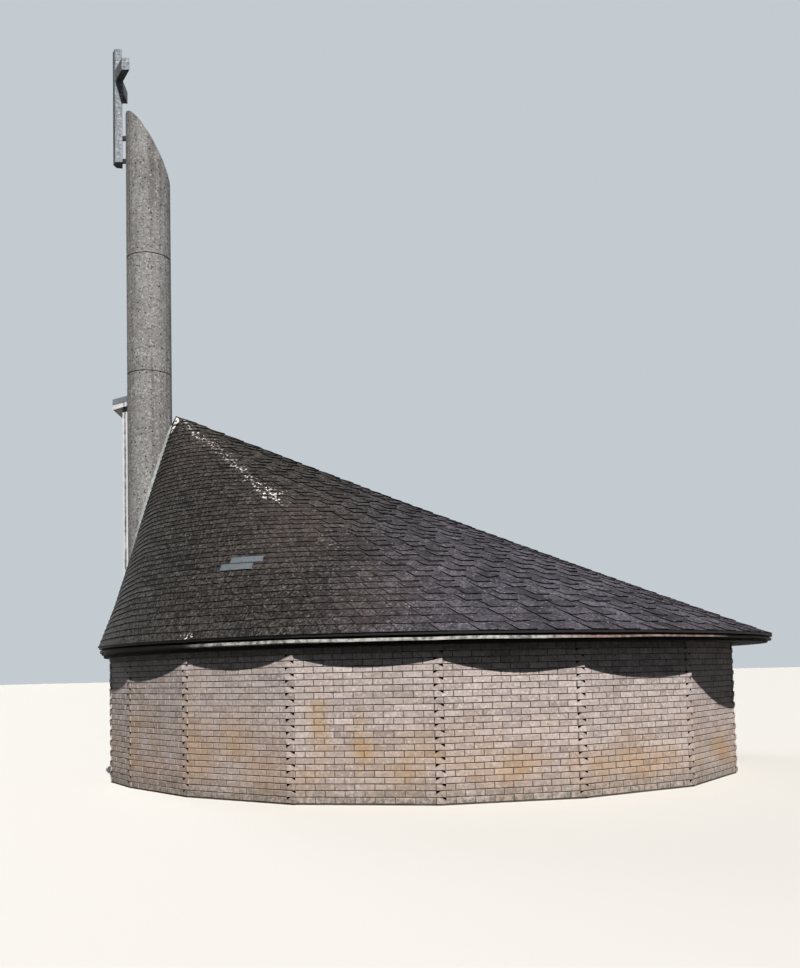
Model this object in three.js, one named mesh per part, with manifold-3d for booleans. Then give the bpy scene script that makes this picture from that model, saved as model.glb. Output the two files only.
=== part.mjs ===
// Modern church building with a round plan
// Low brick ring wall, oblique conical roof, round precast concrete tower with a cross
// Units are millimetres, Z is up, the front of the building faces -Y
import * as THREE from 'three';
import { mergeVertices } from 'three/addons/utils/BufferGeometryUtils.js';
import Module from 'manifold-3d';

const wasm = await Module();
wasm.setup();

// Driving dimensions of the ring wall, 24 courses high
const COURSE = 83.33;
const COURSES = 24;
const WALL_FOOT = 17;
const WALL_TOP = Math.round(COURSES * COURSE + WALL_FOOT);
const WALL_THICK = 270;
const SLAB_THICK = 60;
const CLEAR = 0.5;
const GAP = 0.3;
// Outer wall corners of the front half, from the west end round to the east end
const WALL_FRONT = [
  [-5515, -625], [-5183, -1767], [-4650, -2625], [-3500, -3958], [-1917, -5017],
  [0, -5404], [1858, -5025], [3538, -4038], [4683, -2433], [5210, -817],
];

// Driving dimensions of the entrance in the east panel
const DOOR_PANEL = 9;
const DOOR_WIDE = 1300;
const DOOR_FRAME = 60;
const DOOR_DEEP = 100;
const DOOR_LEAF = 50;
const DOOR_SET = 180;
const SILL_OUT = 40;

// Driving dimensions of the eave and roof
const EAVE_FRONT = [
  [-5767, 0], [-5650, -833], [-5285, -1860], [-4607, -2941], [-3434, -4163],
  [-1855, -5180], [236, -5595], [1910, -5300], [3437, -4535], [4704, -3395],
  [5542, -1875], [5817, 0],
];
const EAVE_SEGMENTS = 72;
const SHINGLE_EDGE_TOP = 2162;
const SHINGLE_EDGE_LOW = 2140;
const EAVE_FALL = 0.0052;
const FASCIA_ROOM = 100;
const EAVE_ROOM = 500;
const ROOF_SHELL_BASE = 100;
const SHELL_LIP = 6;
const ROOF_SAG = 70;
const SAG_STEPS = 5;
const LONGEST_RUN = 10200;
const WEST_DIP = 160;
const WEST_RUN = 2700;
const WEST_FADE = 1300;
const APEX = [-4430, -242, 6381];
const APEX_IN = 50;
const APEX_DROP = 220;
const FASCIA_SET = 75;
const FASCIA_THICK = 22;
const SOFFIT_THICK = 18;
const STRIP_LOW = 2067;
const STRIP_TOP = 2104;
const STRIP_OUT = 35;

// Driving dimensions of the tower
const TOWER_X = -4900;
const TOWER_Y = -250;
const TOWER_R = 393;
const TOWER_WALL = 90;
const TOWER_SIDES = 64;
const TOWER_JOINTS = [3300, 7108, 9250];
const TOWER_TOP_MID = 11334;
const TOWER_SLOPE_X = -1.452;
const TOWER_SLOPE_Y = -0.817;
const TOWER_LID = 200;
const TOWER_ROOM = 13500;

// Driving dimensions of the cross, whose two arms are bent towards the tower
const CROSS_LOW = 11125;
const CROSS_TOP = 13275;
const CROSS_SHAFT = [[-5499, -253], [-5369, -247], [-5432, -10], [-5533, -25], [-5569, -138]];
const CROSS_ARM_LOW = 12651;
const CROSS_ARM_HIGH = 12871;
const CROSS_ARM_SOUTH = [[-5273, -611], [-5131, -605], [-5360, -233], [-5505, -233]];
const CROSS_ARM_NORTH = [[-5532, -50], [-5437, -50], [-5460, 458], [-5563, 454]];
const BRACKET_LEVELS = [11183, 11617];
const BRACKET_Y = -158;
const BRACKET_HALF = 33;

// Driving dimensions of the lantern window
const LANTERN_X0 = -5508;
const LANTERN_X1 = -4983;
const LANTERN_Y0 = 158;
const LANTERN_Y1 = 742;
const LANTERN_LOW = 2540;
const LANTERN_SILL_WEST = 3375;
const LANTERN_SILL_NORTH = 4000;
const LANTERN_TOP = 6651;
const LANTERN_FALL = 0.26;
const LANTERN_BAR = 50;
const LANTERN_GLASS = 10;
const GLASS_SET = 20;
const CAP_OVER = 158;
const CAP_BOARD = 88;
const CAP_ROOF = 104;

const group = new THREE.Group();
group.name = 'modern_church_building';

// Finish colours of the pieces
const FINISH = {
  brick: 0xb5a396,
  slab: 0x9a9a96,
  timber: 0x6b5138,
  plate: 0x8a7350,
  soffit: 0x3a3632,
  fascia: 0x2c2a29,
  strip: 0xd8d5d0,
  shingle: 0x55504f,
  lead: 0x9ea0a2,
  concrete: 0x9b9996,
  white: 0xe6e6e4,
  glass: 0x6d7d86,
  steel: 0x6f7276,
};

// Closed geometry to boolean solid
function solidOf(geometry) {
  const g = geometry.clone();
  g.deleteAttribute('normal');
  g.deleteAttribute('uv');
  const m = mergeVertices(g, 1e-3);
  return new wasm.Manifold(new wasm.Mesh({
    numProp: 3,
    vertProperties: new Float32Array(m.attributes.position.array),
    triVerts: new Uint32Array(m.index.array),
  }));
}

function addMesh(name, solid, finish) {
  const m = solid.getMesh();
  const g = new THREE.BufferGeometry();
  g.setAttribute('position', new THREE.BufferAttribute(new Float32Array(m.vertProperties), 3));
  g.setIndex(new THREE.BufferAttribute(new Uint32Array(m.triVerts), 1));
  g.computeVertexNormals();
  const mat = new THREE.MeshStandardMaterial({ color: FINISH[finish], roughness: 0.8 });
  const mesh = new THREE.Mesh(g, mat);
  mesh.name = name;
  group.add(mesh);
}

// Lengths snapped to a sixteenth so that every piece shares the same corners
function snap(p) {
  return p.map((v) => Math.round(v * 16) / 16);
}

// Plan outlines, counterclockwise
function mirrored(front) {
  const back = front.filter((p) => Math.abs(p[1]) > 1).map((p) => [p[0], -p[1]]).reverse();
  return front.concat(back);
}

function spline(points, count) {
  const curve = new THREE.CatmullRomCurve3(
    points.map((p) => new THREE.Vector3(p[0], p[1], 0)), true, 'centripetal',
  );
  return curve.getSpacedPoints(count).slice(0, count).map((v) => snap([v.x, v.y]));
}

// Outline moved inwards by a set distance, corner by corner
function inset(outline, d) {
  const n = outline.length;
  return outline.map((p, i) => {
    const a = outline[(i + n - 1) % n];
    const b = outline[(i + 1) % n];
    const u = [p[0] - a[0], p[1] - a[1]];
    const v = [b[0] - p[0], b[1] - p[1]];
    const lu = Math.hypot(u[0], u[1]);
    const lv = Math.hypot(v[0], v[1]);
    const nu = [-u[1] / lu, u[0] / lu];
    const nv = [-v[1] / lv, v[0] / lv];
    const s = d / (1 + nu[0] * nv[0] + nu[1] * nv[1]);
    return snap([p[0] + (nu[0] + nv[0]) * s, p[1] + (nu[1] + nv[1]) * s]);
  });
}

function round(x, y, r, sides) {
  const pts = [];
  for (let i = 0; i < sides; i += 1) {
    const a = (2 * Math.PI * i) / sides;
    pts.push(snap([x + r * Math.cos(a), y + r * Math.sin(a)]));
  }
  return pts;
}

// Upright solid from a plan outline, with an optional hole outline
function prism(outline, z0, z1, hole) {
  const shape = new THREE.Shape(outline.map((p) => new THREE.Vector2(p[0], p[1])));
  if (hole) {
    shape.holes.push(new THREE.Path(hole.map((p) => new THREE.Vector2(p[0], p[1]))));
  }
  const g = new THREE.ExtrudeGeometry(shape, { depth: z1 - z0, bevelEnabled: false, steps: 1 });
  g.translate(0, 0, z0);
  return solidOf(g);
}

function box(x0, y0, z0, x1, y1, z1) {
  const g = new THREE.BoxGeometry(x1 - x0, y1 - y0, z1 - z0);
  g.translate((x0 + x1) / 2, (y0 + y1) / 2, (z0 + z1) / 2);
  return solidOf(g);
}

// Height of the eave plane, which falls gently towards the east
function eaveHeight(z, x) {
  return snap([z - EAVE_FALL * x])[0];
}

// Points a part t of the way up the generators, which sag with the square of their run
// The short steep generators in the west dip inwards above the eave
function saggingRing(outline, z1, apex, t) {
  return outline.map((p) => {
    const foot = eaveHeight(z1, p[0]);
    const run = Math.hypot(apex[0] - p[0], apex[1] - p[1]);
    const slack = ROOF_SAG * (run / LONGEST_RUN) ** 2;
    const dip = WEST_DIP * Math.min(1, Math.max(0, (WEST_RUN - run) / WEST_FADE));
    const drop = 4 * t * (1 - t) * slack + 9.48 * t * (1 - t) ** 3 * dip;
    const z = foot + (apex[2] - foot) * t - drop;
    return snap([p[0] + (apex[0] - p[0]) * t, p[1] + (apex[1] - p[1]) * t, z]);
  });
}

// Solid with an upright edge from z0 to z1 and sagging generators up to an apex
function cone(outline, z0, z1, apex) {
  const n = outline.length;
  const verts = [];
  [z0, z1].forEach((z) => outline.forEach((p) => verts.push(p[0], p[1], eaveHeight(z, p[0]))));
  for (let k = 1; k < SAG_STEPS; k += 1) {
    saggingRing(outline, z1, apex, k / SAG_STEPS).forEach((v) => verts.push(...v));
  }
  verts.push(apex[0], apex[1], apex[2]);
  const tris = [];
  for (let i = 0; i < n; i += 1) {
    const j = (i + 1) % n;
    for (let ring = 0; ring < SAG_STEPS; ring += 1) {
      const low = ring * n;
      tris.push(low + i, low + j, low + n + j);
      tris.push(low + i, low + n + j, low + n + i);
    }
    tris.push(SAG_STEPS * n + i, SAG_STEPS * n + j, (SAG_STEPS + 1) * n);
  }
  const flat = THREE.ShapeUtils.triangulateShape(outline.map((p) => new THREE.Vector2(p[0], p[1])), []);
  flat.forEach((t) => tris.push(t[0], t[2], t[1]));
  const g = new THREE.BufferGeometry();
  g.setAttribute('position', new THREE.BufferAttribute(new Float32Array(verts), 3));
  g.setIndex(tris);
  return solidOf(g);
}

const WALL = mirrored(WALL_FRONT);
const WALL_INNER = inset(WALL, WALL_THICK);
const EAVE = spline(mirrored(EAVE_FRONT), EAVE_SEGMENTS);
const TOWER_HOLE = prism(round(TOWER_X, TOWER_Y, TOWER_R + CLEAR, TOWER_SIDES), -10, TOWER_ROOM);

// Floor slab inside the ring wall, with the threshold of the entrance
const doorFace = WALL[DOOR_PANEL][0];
const doorHalf = DOOR_WIDE / 2;
const threshold = box(doorFace - WALL_THICK - 50, -doorHalf + GAP, 0, doorFace + SILL_OUT, doorHalf - GAP,
  SLAB_THICK);
const floor = prism(inset(WALL, WALL_THICK + CLEAR), 0, SLAB_THICK).add(threshold);
addMesh('floor_slab', floor.subtract(TOWER_HOLE), 'slab');

// Brick wall panels with mitred ends, the west one recessed for the tower, the east one split by the doorway
for (let i = 0; i < WALL.length; i += 1) {
  const j = (i + 1) % WALL.length;
  const panel = prism([WALL[i], WALL[j], WALL_INNER[j], WALL_INNER[i]], 0, WALL_TOP).subtract(TOWER_HOLE);
  const name = `wall_panel_${String(i + 1).padStart(2, '0')}`;
  if (i === DOOR_PANEL) {
    const x0 = doorFace - 900;
    const x1 = doorFace + 500;
    addMesh(`${name}_south`, panel.subtract(box(x0, -doorHalf, -10, x1, 2000, 5000)), 'brick');
    addMesh(`${name}_north`, panel.subtract(box(x0, -2000, -10, x1, doorHalf, 5000)), 'brick');
  } else {
    addMesh(name, panel, 'brick');
  }
}

// Entrance frame and doors
{
  const x = doorFace - DOOR_SET;
  const t = DOOR_FRAME;
  const z0 = SLAB_THICK + GAP;
  const z1 = WALL_TOP - GAP;
  const leafX = x + (DOOR_DEEP - DOOR_LEAF) / 2;
  const leafTop = z1 - t - GAP;
  const outer = box(x, -doorHalf + GAP, z0, x + DOOR_DEEP, doorHalf - GAP, z1);
  const inner = box(x - 10, -doorHalf + t, z0 - 10, x + DOOR_DEEP + 10, doorHalf - t, z1 - t);
  addMesh('door_frame', outer.subtract(inner), 'timber');
  addMesh('door_leaf_south', box(leafX, -doorHalf + t + GAP, z0, leafX + DOOR_LEAF, -1, leafTop), 'timber');
  addMesh('door_leaf_north', box(leafX, 1, z0, leafX + DOOR_LEAF, doorHalf - t - GAP, leafTop), 'timber');
}

// Roof shell with its holes for tower and lantern
const innerApex = [APEX[0] + APEX_IN, APEX[1], APEX[2] - APEX_DROP];
const shellLine = inset(EAVE, ROOF_SHELL_BASE);
const lanternVoid = box(
  LANTERN_X0 - CLEAR, LANTERN_Y0 - CLEAR, LANTERN_LOW - GAP,
  LANTERN_X1 + CLEAR, LANTERN_Y1 + CLEAR, LANTERN_TOP,
);
const roof = cone(EAVE, SHINGLE_EDGE_LOW, SHINGLE_EDGE_TOP, APEX)
  .subtract(cone(shellLine, SHINGLE_EDGE_LOW - 50, SHINGLE_EDGE_LOW + SHELL_LIP, innerApex))
  .subtract(TOWER_HOLE)
  .subtract(lanternVoid);
addMesh('roof_shell', roof, 'shingle');

// Wall head between wall top and roof
const headLine = inset(EAVE, ROOF_SHELL_BASE + 2);
const head = prism(WALL, WALL_TOP, APEX[2], WALL_INNER).intersect(
  cone(headLine, WALL_TOP - 50, SHINGLE_EDGE_LOW - 2, [innerApex[0], innerApex[1], innerApex[2] - 3]),
);
addMesh('wall_head', head.subtract(TOWER_HOLE).subtract(lanternVoid), 'plate');

// Eave ring pieces, cut off under the roof shell
const fasciaOut = inset(EAVE, FASCIA_SET);
const fasciaIn = inset(EAVE, FASCIA_SET + FASCIA_THICK);
const overEave = cone(inset(EAVE, -5), SHINGLE_EDGE_LOW - GAP, SHINGLE_EDGE_TOP + EAVE_ROOM, APEX);
const fascia = prism(fasciaOut, WALL_TOP, SHINGLE_EDGE_TOP + FASCIA_ROOM, fasciaIn);
const strip = prism(inset(EAVE, FASCIA_SET - STRIP_OUT), STRIP_LOW, STRIP_TOP,
  inset(EAVE, FASCIA_SET - 0.5));
addMesh('eave_fascia', fascia.subtract(overEave), 'fascia');
addMesh('eave_strip', strip.subtract(overEave), 'strip');
addMesh('eave_soffit', prism(inset(EAVE, FASCIA_SET + FASCIA_THICK + 0.5), WALL_TOP,
  WALL_TOP + SOFFIT_THICK, inset(WALL, -CLEAR)), 'soffit');

// Space below the slanted tower top, shifted up or down by lift
function belowSlant(lift) {
  const g = new THREE.BoxGeometry(1400, 1400, 6000);
  g.translate(0, 0, -3000);
  const p = g.attributes.position;
  for (let i = 0; i < p.count; i += 1) {
    if (p.getZ(i) > -1) {
      p.setZ(i, TOWER_SLOPE_X * p.getX(i) + TOWER_SLOPE_Y * p.getY(i));
    }
  }
  g.translate(TOWER_X, TOWER_Y, TOWER_TOP_MID + lift);
  return solidOf(g);
}

// Tower sections, each a hollow ring, the last one closed by its slanted lid
const TOWER_OUT = round(TOWER_X, TOWER_Y, TOWER_R, TOWER_SIDES);
const TOWER_IN = round(TOWER_X, TOWER_Y, TOWER_R - TOWER_WALL, TOWER_SIDES / 2);
const cuts = [0].concat(TOWER_JOINTS);
for (let i = 0; i < cuts.length; i += 1) {
  const z0 = cuts[i];
  if (i < cuts.length - 1) {
    addMesh(`tower_section_${i + 1}`, prism(TOWER_OUT, z0, cuts[i + 1], TOWER_IN), 'concrete');
  } else {
    const body = prism(TOWER_OUT, z0, TOWER_ROOM).intersect(belowSlant(0));
    const hollow = prism(TOWER_IN, z0 - 10, TOWER_ROOM).intersect(belowSlant(-TOWER_LID));
    addMesh(`tower_section_${i + 1}`, body.subtract(hollow), 'concrete');
  }
}

// Concrete cross and its brackets
const shaft = prism(CROSS_SHAFT, CROSS_LOW, CROSS_TOP);
const shaftRoom = prism(inset(CROSS_SHAFT, -GAP), CROSS_LOW - 10, CROSS_TOP + 10);
addMesh('cross_shaft', shaft, 'concrete');
addMesh('cross_arm_south', prism(CROSS_ARM_SOUTH, CROSS_ARM_LOW, CROSS_ARM_HIGH).subtract(shaftRoom),
  'concrete');
addMesh('cross_arm_north', prism(CROSS_ARM_NORTH, CROSS_ARM_LOW, CROSS_ARM_HIGH).subtract(shaftRoom),
  'concrete');
const towerRoom = prism(round(TOWER_X, TOWER_Y, TOWER_R + GAP, TOWER_SIDES), CROSS_LOW - 500, TOWER_ROOM);
BRACKET_LEVELS.forEach((z, i) => {
  const h = BRACKET_HALF;
  const bar = box(CROSS_SHAFT[0][0], BRACKET_Y - h, z - h, TOWER_X, BRACKET_Y + h, z + h);
  addMesh(`cross_bracket_${i + 1}`, bar.subtract(shaftRoom).subtract(towerRoom), 'steel');
});

// Solid between y0 and y1 whose lower and upper faces rise eastwards with the lantern roof
function sloping(x0, x1, y0, y1, low, high) {
  const rise = (x) => LANTERN_FALL * (x - LANTERN_X0);
  const shape = new THREE.Shape([
    new THREE.Vector2(x0, low + rise(x0)),
    new THREE.Vector2(x1, low + rise(x1)),
    new THREE.Vector2(x1, high + rise(x1)),
    new THREE.Vector2(x0, high + rise(x0)),
  ]);
  const g = new THREE.ExtrudeGeometry(shape, { depth: y1 - y0, bevelEnabled: false, steps: 1 });
  g.rotateX(Math.PI / 2);
  g.translate(0, y1, 0);
  return solidOf(g);
}

// Lantern window with its sloping cap
{
  const b = LANTERN_BAR;
  const x0 = LANTERN_X0;
  const x1 = LANTERN_X1;
  const y0 = LANTERN_Y0;
  const y1 = LANTERN_Y1;
  const z0 = LANTERN_LOW;
  const z1 = LANTERN_TOP;
  const outer = sloping(x0, x1, y0, y1, z0 - 500, z1)
    .subtract(box(x0 - 10, y0 - 10, z0 - 600, x1 + 10, y1 + 10, z0));
  const through = box(x0 + b, y0 + b, z0 - 10, x1 - b, y1 - b, z1 + 400);
  const sillW = LANTERN_SILL_WEST;
  const sillN = LANTERN_SILL_NORTH;
  const west = box(x0 - 10, y0 + b, sillW, x0 + b + 10, y1 - b, z1 - b);
  const north = box(x0 + b, y1 - b - 10, sillN, x1 - b, y1 + 10, z1 - b);
  addMesh('lantern_frame', outer.subtract(through).subtract(west).subtract(north), 'white');
  const g = b + GAP;
  const top = z1 - g;
  const gx = x0 + GLASS_SET;
  const gy = y1 - GLASS_SET;
  addMesh('lantern_glass_west', box(gx, y0 + g, sillW + GAP, gx + LANTERN_GLASS, y1 - g, top), 'glass');
  addMesh('lantern_glass_north', box(x0 + g, gy - LANTERN_GLASS, sillN + GAP, x1 - g, gy, top), 'glass');
  const capTop = z1 + GAP + CAP_BOARD;
  const cap = sloping(x0 - CAP_OVER, x1 + 30, y0 - 60, y1 + CAP_OVER, z1 + GAP, capTop);
  addMesh('lantern_cap', cap.subtract(TOWER_HOLE), 'white');
  const capRoof = sloping(x0 - CAP_OVER - 5, x1 + 40, y0 - 65, y1 + CAP_OVER + 5, capTop + GAP,
    capTop + GAP + CAP_ROOF);
  addMesh('lantern_cap_roof', capRoof.subtract(TOWER_HOLE), 'lead');
}

export default group;
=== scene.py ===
"""Looks of the modern church building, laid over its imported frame.

Metres, Z up, the front of the building faces -Y and the tower stands at -X. The CAD wall panels stay as
the mortar behind the bricks, and the CAD roof shell stays as the felt under the shingles.
"""
import math

import bmesh
import bpy
import numpy as np
from mathutils import Matrix, Vector


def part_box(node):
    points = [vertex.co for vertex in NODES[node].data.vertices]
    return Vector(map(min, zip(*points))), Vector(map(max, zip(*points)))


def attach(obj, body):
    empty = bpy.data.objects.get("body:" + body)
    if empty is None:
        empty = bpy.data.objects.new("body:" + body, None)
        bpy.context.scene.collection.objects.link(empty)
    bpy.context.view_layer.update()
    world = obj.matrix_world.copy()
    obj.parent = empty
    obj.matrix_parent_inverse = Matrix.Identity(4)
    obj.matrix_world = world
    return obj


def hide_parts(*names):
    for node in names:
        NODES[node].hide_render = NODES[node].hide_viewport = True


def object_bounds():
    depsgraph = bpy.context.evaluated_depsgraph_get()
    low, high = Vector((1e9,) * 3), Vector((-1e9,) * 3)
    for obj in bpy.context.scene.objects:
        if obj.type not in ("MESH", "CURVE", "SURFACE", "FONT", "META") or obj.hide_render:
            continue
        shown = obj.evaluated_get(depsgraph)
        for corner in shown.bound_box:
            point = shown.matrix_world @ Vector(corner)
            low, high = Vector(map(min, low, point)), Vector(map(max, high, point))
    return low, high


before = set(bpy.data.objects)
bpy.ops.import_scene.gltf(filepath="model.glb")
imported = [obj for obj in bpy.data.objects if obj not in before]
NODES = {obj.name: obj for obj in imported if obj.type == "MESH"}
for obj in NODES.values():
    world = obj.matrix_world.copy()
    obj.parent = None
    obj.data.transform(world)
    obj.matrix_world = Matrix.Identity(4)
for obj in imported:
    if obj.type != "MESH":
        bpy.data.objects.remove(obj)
cad_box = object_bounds()
BOX_LOW = np.array(cad_box[0])
BOX_HIGH = np.array(cad_box[1])

# Ring wall, as in the part: outer corners of its front half from west to east, mirrored for the back half
WALL_FRONT = [
    (-5.515, -0.625), (-5.183, -1.767), (-4.650, -2.625), (-3.500, -3.958), (-1.917, -5.017),
    (0.000, -5.404), (1.858, -5.025), (3.538, -4.038), (4.683, -2.433), (5.210, -0.817),
]
WALL = WALL_FRONT + [(x, -y) for x, y in reversed(WALL_FRONT)]
COURSE = 0.08333
COURSES = 24
WALL_FOOT = 0.017
DOOR_PANEL = 9
DOOR_HALF = 0.650

# Roof, as in the part: an oblique cone that sags, and dips where its generators are short
EAVE_TOP = 2.162
EAVE_FALL = 0.0052
APEX = np.array([-4.430, -0.242, 6.381])
ROOF_SAG = 0.070
SAG_STEPS = 5
LONGEST_RUN = 10.2
WEST_DIP = 0.160
WEST_RUN = 2.7
WEST_FADE = 1.3

# Tower with the feet of its four rings and its slanted top, and plan of the lantern, as in the part
TOWER_X = -4.900
TOWER_Y = -0.250
TOWER_R = 0.393
TOWER_WALL = 0.090
TOWER_JOINTS = [0.0, 3.300, 7.108, 9.250]
TOWER_TOP_MID = 11.334
TOWER_SLOPE_X = -1.452
TOWER_SLOPE_Y = -0.817
LANTERN = (-5.508, -4.983, 0.158, 0.742)

rng = np.random.default_rng(2817)

# Colours and shader nodes

# Sockets of the Mix node: share, lower and upper colour, and result
MIX_SHARE, MIX_UNDER, MIX_OVER, MIX_RESULT = 0, 6, 7, 2
MIDDLE = (0.5, 0.5, 0.5, 1.0)
NOTHING = (0.0, 0.0, 0.0, 1.0)


def linear(code):
    """sRGB hex colour to linear RGBA."""
    parts = [int(code[i:i + 2], 16) / 255 for i in (1, 3, 5)]
    parts = [c / 12.92 if c <= 0.04045 else ((c + 0.055) / 1.055) ** 2.4 for c in parts]
    return (*parts, 1.0)


def add(tree, kind, inputs=None, **settings):
    """Adds one shader node, with its settings, and its inputs as values or links."""
    node = tree.nodes.new("ShaderNode" + kind)
    for name, value in settings.items():
        setattr(node, name, value)
    for key, value in (inputs or {}).items():
        if isinstance(value, bpy.types.NodeSocket):
            tree.links.new(value, node.inputs[key])
        else:
            node.inputs[key].default_value = value
    return node


def new_material(name):
    """Empty material, its node tree and the place on the object in metres."""
    material = bpy.data.materials.new(name)
    material.use_nodes = True
    tree = material.node_tree
    tree.nodes.clear()
    place = add(tree, "TexCoord").outputs["Object"]
    return material, tree, place


def finish_material(tree, colour, roughness, height=None, bump=0.5, depth=0.004, **shader):
    """Principled surface with an optional bump, depth metres deep, from a height in 0 to 1."""
    inputs = {"Base Color": colour, "Roughness": roughness}
    inputs.update({key.replace("_", " "): value for key, value in shader.items()})
    if height is not None:
        relief = add(tree, "Bump", {"Strength": bump, "Distance": depth, "Height": height})
        inputs["Normal"] = relief.outputs[0]
    surface = add(tree, "BsdfPrincipled", inputs)
    add(tree, "OutputMaterial", {"Surface": surface.outputs[0]})


def mask(tree, *factors):
    """Product of its factors.

    A factor (value, low, high) is first stretched so that low gives 0 and high gives 1, and clamped. Two
    more numbers stand for other ends than 0 and 1.
    """
    product = None
    for factor in factors:
        if isinstance(factor, tuple):
            value, low, high, least, most = (*factor, 0.0, 1.0)[:5]
            factor = add(tree, "MapRange", {"Value": value, "From Min": low, "From Max": high,
                                            "To Min": least, "To Max": most}).outputs[0]
        if product is None:
            product = factor
        else:
            product = add(tree, "Math", {0: product, 1: factor}, operation="MULTIPLY").outputs[0]
    return product


def stain(tree, under, over, *factors):
    """Colour with another one laid over it, as strong as the product of the factors."""
    under, over = (linear(c) if isinstance(c, str) else c for c in (under, over))
    return add(tree, "Mix", {MIX_SHARE: mask(tree, *factors), MIX_UNDER: under, MIX_OVER: over},
               data_type="RGBA").outputs[MIX_RESULT]


def grain(tree, place, size, detail=3.0, upright=1.0):
    """Cloudy pattern, its coarsest spots of a size in metres, drawn out along z where upright is below 1."""
    if upright < 1.0:
        place = add(tree, "VectorMath", {0: place, 1: (1, 1, upright)}, operation="MULTIPLY").outputs[0]
    return add(tree, "TexNoise", {"Vector": place, "Scale": 0.5 / size, "Detail": detail,
                                  "Roughness": 0.6}).outputs["Fac"]


def clumps(tree, place, size):
    """Three random values that stay the same over each clump of grains of a size in metres."""
    cell = add(tree, "TexVoronoi", {"Vector": place, "Scale": 1 / size}).outputs["Color"]
    return add(tree, "SeparateColor", {0: cell}).outputs


def facing(tree):
    """How far the surface faces along x, y and z."""
    normal = add(tree, "NewGeometry").outputs["Normal"]
    return add(tree, "SeparateXYZ", {0: normal}).outputs


def spot(tree, place, centre, reach):
    """1 around a point, falling to 0 at its reach in x, y and z."""
    away = add(tree, "VectorMath", {0: place, 1: centre}, operation="SUBTRACT").outputs[0]
    unit = add(tree, "VectorMath", {0: away, 1: reach}, operation="DIVIDE").outputs[0]
    length = add(tree, "VectorMath", {0: unit}, operation="LENGTH").outputs["Value"]
    return mask(tree, (length, 0.15, 1.0, 1.0, 0.0))


# Meshes and pieces

class Mesh:
    """Collects vertices, faces and a few values per vertex for one piece."""

    def __init__(self, *layers):
        self.points = []
        self.faces = []
        self.layers = {name: [] for name in layers}

    def put(self, points, faces, **values):
        """Adds points and faces. A value is one number for all points or one for each, 0 if not given."""
        start = len(self.points)
        self.points.extend([tuple(p) for p in points])
        self.faces.extend([tuple(start + i for i in face) for face in faces])
        for name, layer in self.layers.items():
            value = values.get(name, 0.0)
            if np.ndim(value) == 0:
                value = [value] * len(points)
            layer.extend(value)

    def piece(self, name, material, slot, smooth=False, replaces=()):
        """Makes the piece, on the one body of the building."""
        mesh = bpy.data.meshes.new(name)
        mesh.from_pydata(self.points, [], self.faces)
        for layer, values in self.layers.items():
            attribute = mesh.attributes.new(layer, "FLOAT", "POINT")
            attribute.data.foreach_set("value", np.array(values, np.float32))
        mesh.polygons.foreach_set("use_smooth", [smooth] * len(mesh.polygons))
        mesh.materials.append(material)
        mesh.validate()
        mesh.update()
        piece = bpy.data.objects.new(name, mesh)
        bpy.context.scene.collection.objects.link(piece)
        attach(piece, "root")
        if replaces:
            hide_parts(*replaces)
        return piece


def row_pairs(rows):
    """Pairs of neighbouring rows, the last one paired with the first."""
    return [(row, (row + 1) % rows) for row in range(rows)]


def faces_between(pairs, count, looped=True, flipped=False):
    """Faces between pairs of rows of count points. The ends of a looped row are joined too."""
    faces = []
    for first, second in pairs:
        a, b = first * count, second * count
        for i in range(count if looped else count - 1):
            j = (i + 1) % count
            faces.append((a + i, b + i, b + j, a + j) if flipped else (a + i, a + j, b + j, b + i))
    return faces


def end_faces(count):
    """Faces at the two ends of four rows of count points."""
    return [tuple(row * count for row in range(4)), tuple(row * count - 1 for row in range(4, 0, -1))]


def chamfered_box(length, depth, height, chamfer):
    """Box along x, its face towards -y at y = 0 with chamfered edges, its back at y = depth."""
    points = []
    for side, y in ((0.0, depth), (0.0, chamfer), (chamfer, 0.0)):
        points += [(side, y, side), (length - side, y, side),
                   (length - side, y, height - side), (side, y, height - side)]
    faces = [(3, 2, 1, 0), (8, 9, 10, 11)] + faces_between([(0, 1), (1, 2)], 4)
    return np.array(points), faces


def set_finish(material, *names):
    """Gives CAD nodes their finish."""
    for name in names:
        slots = NODES[name].data.materials
        slots.clear()
        slots.append(material)


def soften(width, *names):
    """Rounds the edges of CAD nodes a little."""
    for name in names:
        bevel = NODES[name].modifiers.new("edges", "BEVEL")
        bevel.width = width
        bevel.segments = 2
        bevel.limit_method = "ANGLE"
        bevel.angle_limit = math.radians(40)


# Brick wall

# Bricks, how far their faces stand out of the mortar, and how uneven they are
BRICK_LONG = 0.250
BRICK_DEPTH = 0.1025
BRICK_CHAMFER = 0.003
BRICK_ROUGH = 0.0006
JOINT = 0.011
PROUD = 0.006
PROUD_SPREAD = 0.0012
TONE_SPREAD = 0.17
DARK_SHARE = 0.06
DARK_STEP = 0.3

# Bricks poke past a corner by a tooth on every other course, with a painted shadow under the poking end
TOOTH = BRICK_LONG / 4
NOTCH_SHADOW_START = 0.006
NOTCH_SHADOW_DEEP = 0.034
NOTCH_SHADOW_PROUD = 0.0035

# Corners where the facet that starts there pokes past on even courses; at the others it does on odd ones
EVEN_CORNERS = {5, 14}


def on_facet(facet, x, lift, z):
    """Points at x along a facet, lifted out of it, at height z."""
    start, along, out = facet
    plan = [start[i] + along[i] * x + out[i] * lift for i in (0, 1)]
    return np.column_stack([*plan, z])


def lay_brick(wall, facet, x0, x1, z0, tone, age):
    """One brick from x0 to x1 along a facet."""
    points, faces = chamfered_box(x1 - x0 - JOINT, BRICK_DEPTH, COURSE - JOINT, BRICK_CHAMFER)
    points = points + rng.normal(0, BRICK_ROUGH, points.shape)
    lift = PROUD + rng.normal(0, PROUD_SPREAD)
    x, y, z = points.T
    wall.put(on_facet(facet, x0 + JOINT / 2 + x, lift - y, z0 + JOINT / 2 + z), faces, tone=tone, age=age)


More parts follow.
